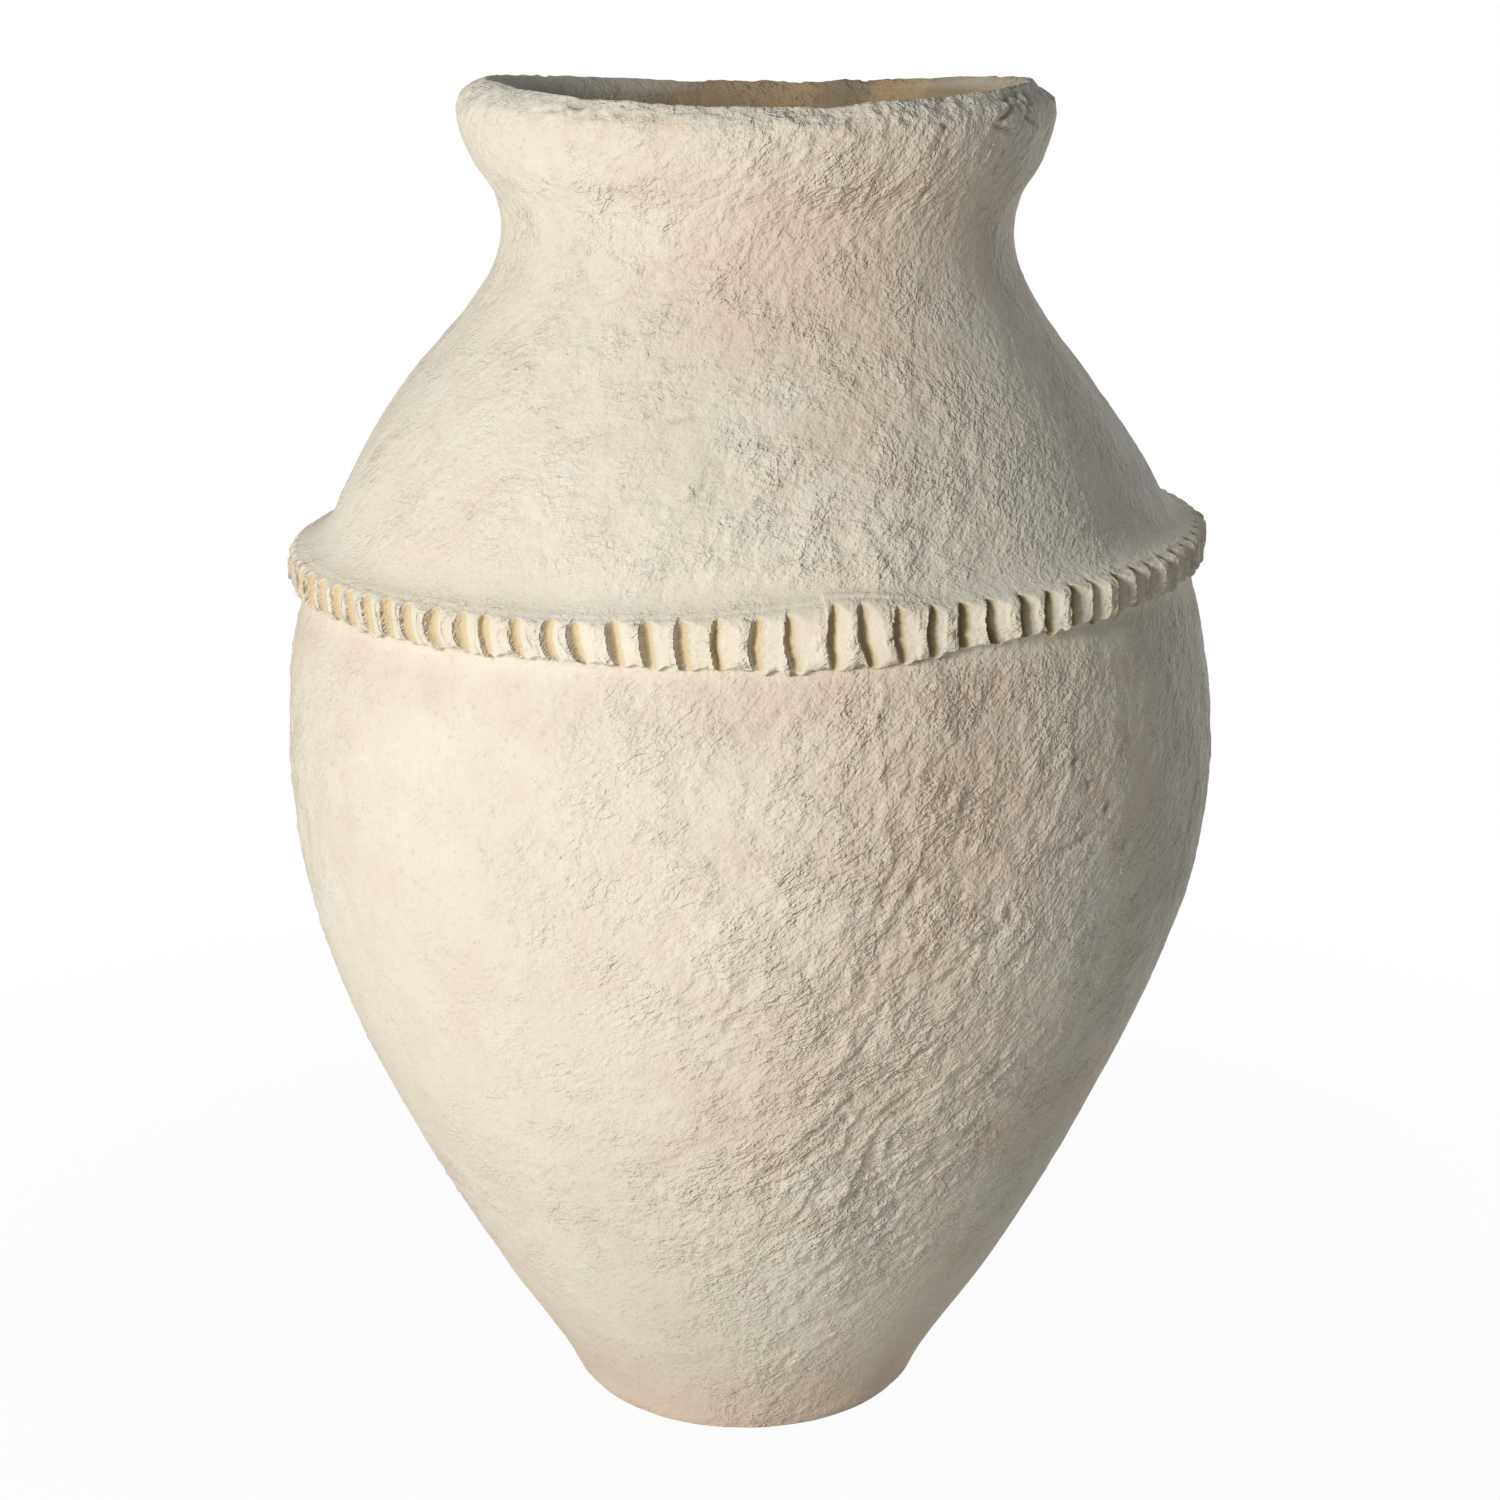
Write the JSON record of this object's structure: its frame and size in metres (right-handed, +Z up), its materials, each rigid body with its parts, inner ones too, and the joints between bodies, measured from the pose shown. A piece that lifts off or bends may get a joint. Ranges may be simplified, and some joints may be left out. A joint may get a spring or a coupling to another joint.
{
  "type": "urn",
  "caption": "Tall hand-built earthenware urn with a narrow flat foot, broad belly, notched strip round the shoulder and a thick rolled lip, open at the top.",
  "frame": {"origin": "on the plane that the foot rests on, under the middle of the belly", "axes": "+Z up out of the mouth; -Y towards the side that the picture shows, +X to its right"},
  "size_m": [0.3914, 0.392, 0.5697],
  "materials": {
    "lime_coat": "fired earthenware under a rough, matt, hand-rubbed lime coat, cream with pinkish and grey-green patches",
    "strip_coat": "fired earthenware strip, torn and pitted on its crests, smooth in its pressed marks, lime-coated and matt",
    "raw_clay": "bare fired earthenware, tan, dry and matt, finger-wiped"
  },
  "bodies": {
    "root": {"floor_slab": "raw_clay", "lower_wall": "lime_coat", "belly_wall_lower": "lime_coat", "belly_wall_upper": "lime_coat", "shoulder_wall": "lime_coat", "neck_wall": "lime_coat", "rim_roll": "lime_coat", "band_strip_left": "strip_coat", "band_strip_right": "strip_coat"}
  },
  "joints": []
}
